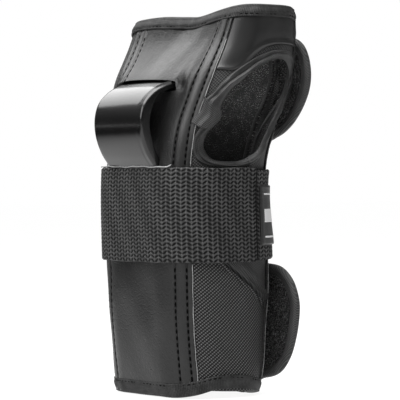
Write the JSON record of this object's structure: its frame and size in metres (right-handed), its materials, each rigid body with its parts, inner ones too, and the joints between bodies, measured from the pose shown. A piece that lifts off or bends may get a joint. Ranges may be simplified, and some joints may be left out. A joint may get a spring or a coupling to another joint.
{
  "type": "wrist guard",
  "caption": "Right-hand padded wrist guard with a bowed palm blade, thumb hole, wide wrist strap and two hook-and-loop tabs on its open back.",
  "frame": {"origin": "centre of the whole guard's outline, on the ground it stands on", "axes": "+Z from the forearm to the fingers, palm towards -Y, thumb side towards +X"},
  "size_m": [0.1044, 0.096, 0.2102],
  "materials": {
    "smooth_leather": "satin",
    "nylon_weave": "matt woven",
    "brushed_cloth": "brushed",
    "padding": "foam",
    "blade_plastic": "gloss",
    "stay_plastic": "matt",
    "binding_tape": "ribbed",
    "strap_webbing": "herringbone",
    "hook_tape": "hooks",
    "loop_tape": "loops",
    "label_cloth": "woven, pale marks"
  },
  "bodies": {
    "cuff": {"palm_leather_panel": "smooth_leather", "thumb_side_upper_panel": "smooth_leather", "thumb_side_lower_panel": "nylon_weave", "gusset_panel": "brushed_cloth", "ulnar_panel": "nylon_weave", "dorsal_panel": "nylon_weave", "palm_foam": "padding", "thumb_side_foam": "padding", "ulnar_foam": "padding", "dorsal_foam": "padding", "inner_lining": "loop_tape", "palm_splint": "blade_plastic", "dorsal_splint": "stay_plastic", "top_binding": "binding_tape", "bottom_binding": "binding_tape", "near_edge_binding": "binding_tape", "far_edge_binding": "binding_tape", "thumb_hole_binding": "binding_tape", "wrist_strap": "strap_webbing", "strap_loop_patch": "loop_tape"},
    "strap_closure": {"strap_end": "strap_webbing", "strap_hook_patch": "hook_tape", "woven_label": "label_cloth"},
    "hand_tab": {"hand_tab_pad": "padding", "hand_tab_cover": "nylon_weave", "hand_tab_hook_patch": "hook_tape", "hand_tab_binding": "binding_tape"},
    "forearm_tab": {"forearm_tab_pad": "padding", "forearm_tab_cover": "nylon_weave", "forearm_tab_hook_patch": "hook_tape", "forearm_tab_binding": "binding_tape"}
  },
  "joints": [
    {"name": "strap_peel", "type": "hinge", "parent": "cuff", "child": "strap_closure", "pos_m": [0.04401, 0.01066, 0.0965], "axis": [0, 0, -1], "range_deg": [0, 100]},
    {"name": "hand_tab_fold", "type": "hinge", "parent": "cuff", "child": "hand_tab", "pos_m": [0.02562, 0.04056, 0.165], "axis": [0.1099, 0.0822, 0.9905], "range_deg": [-4, 55]},
    {"name": "forearm_tab_fold", "type": "hinge", "parent": "cuff", "child": "forearm_tab", "pos_m": [0.0192, 0.03162, 0.04], "axis": [0, 0.0589, 0.9983], "range_deg": [-3, 95]}
  ]
}
